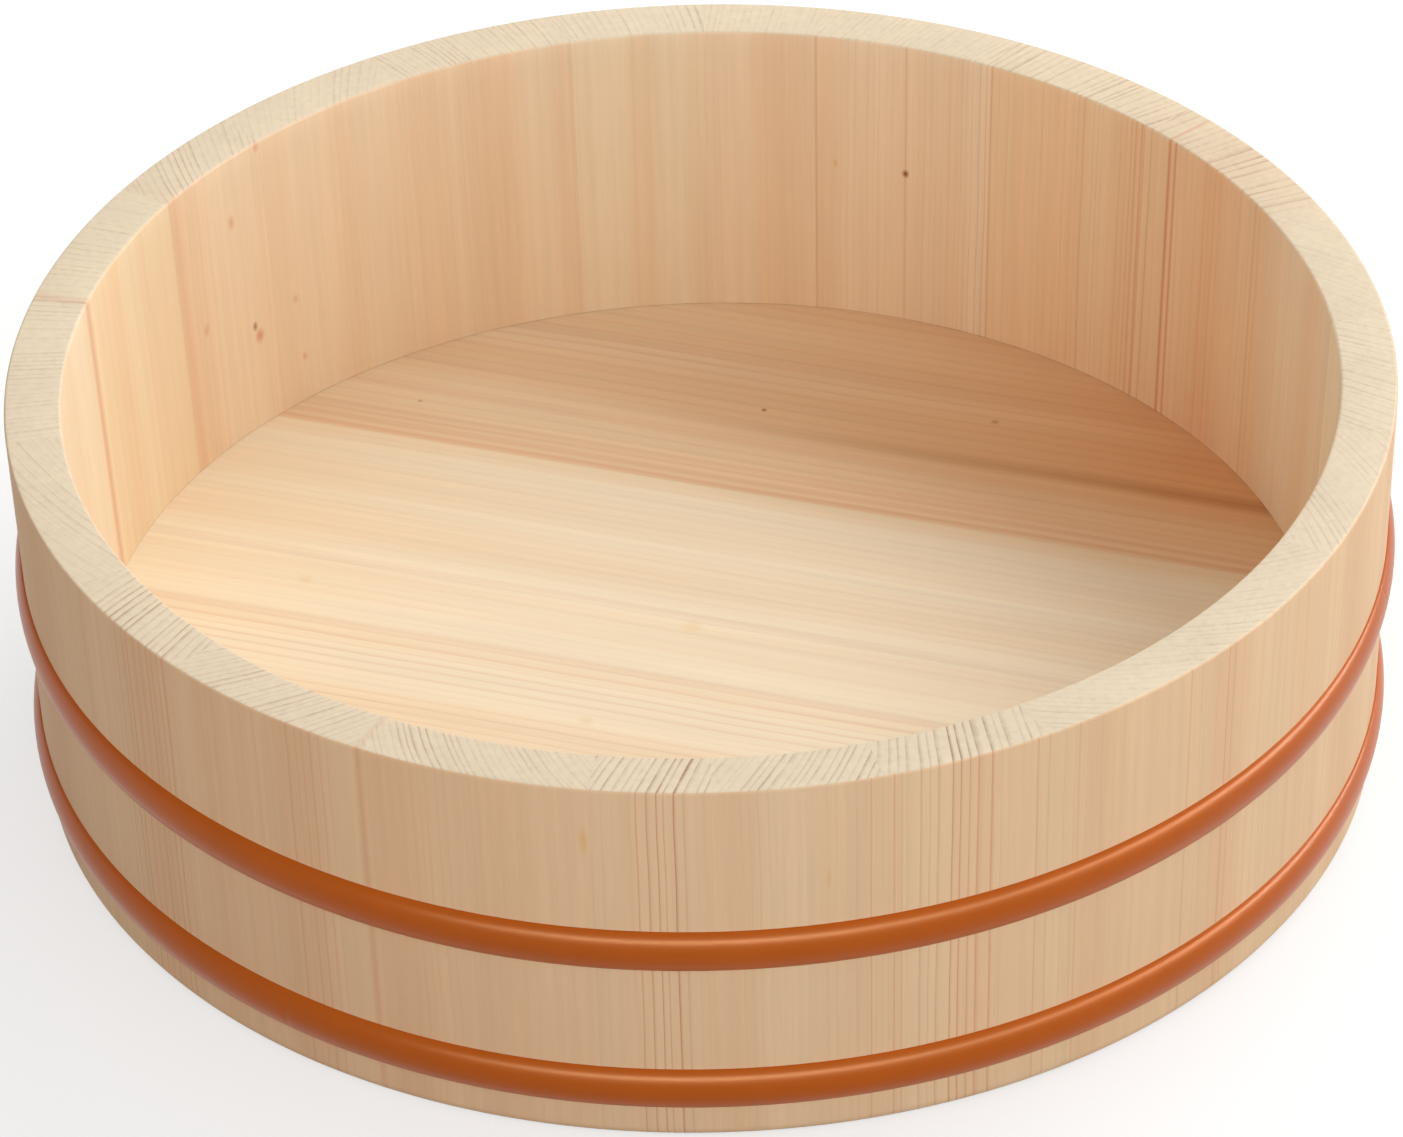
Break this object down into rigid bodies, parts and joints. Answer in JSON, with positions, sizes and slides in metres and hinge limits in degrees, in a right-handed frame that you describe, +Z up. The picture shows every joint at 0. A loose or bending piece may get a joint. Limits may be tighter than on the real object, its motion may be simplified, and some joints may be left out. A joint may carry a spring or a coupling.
{
  "type": "sushi rice tub",
  "caption": "Shallow round wooden tub of tapered staves around a planked bottom, bound by plastic hoops, for cooling and dressing sushi rice.",
  "frame": {"origin": "centre of the foot ring, on the plane the tub stands on", "axes": "+Z up along the tub's axis; the pictured front faces -Y"},
  "size_m": [0.33, 0.3299, 0.102],
  "materials": {
    "stave_wood": "planed, unvarnished",
    "board_wood": "planed, unvarnished",
    "hoop_plastic": "smooth, satin gloss",
    "bamboo": "split bamboo"
  },
  "bodies": {
    "root": {"stave_01": "stave_wood", "stave_02": "stave_wood", "stave_03": "stave_wood", "stave_04": "stave_wood", "stave_05": "stave_wood", "stave_06": "stave_wood", "stave_07": "stave_wood", "stave_08": "stave_wood", "stave_09": "stave_wood", "stave_10": "stave_wood", "stave_11": "stave_wood", "stave_12": "stave_wood", "stave_13": "stave_wood", "stave_14": "stave_wood", "stave_15": "stave_wood", "stave_16": "stave_wood", "stave_17": "stave_wood", "stave_18": "stave_wood", "stave_19": "stave_wood", "stave_20": "stave_wood", "stave_21": "stave_wood", "stave_22": "stave_wood", "bottom_board_1": "board_wood", "bottom_board_2": "board_wood", "bottom_board_3": "board_wood", "bottom_board_4": "board_wood", "upper_hoop": "hoop_plastic", "lower_hoop": "hoop_plastic", "stave_peg_01": "bamboo", "stave_peg_02": "bamboo", "stave_peg_03": "bamboo", "stave_peg_04": "bamboo", "stave_peg_05": "bamboo", "stave_peg_06": "bamboo", "stave_peg_07": "bamboo", "stave_peg_08": "bamboo", "stave_peg_09": "bamboo", "stave_peg_10": "bamboo", "stave_peg_11": "bamboo", "stave_peg_12": "bamboo", "stave_peg_13": "bamboo", "stave_peg_14": "bamboo", "stave_peg_15": "bamboo", "stave_peg_16": "bamboo", "stave_peg_17": "bamboo", "stave_peg_18": "bamboo", "stave_peg_19": "bamboo", "stave_peg_20": "bamboo", "stave_peg_21": "bamboo", "stave_peg_22": "bamboo", "board_peg_1": "bamboo", "board_peg_2": "bamboo", "board_peg_3": "bamboo", "board_peg_4": "bamboo", "board_peg_5": "bamboo", "board_peg_6": "bamboo"}
  },
  "joints": []
}
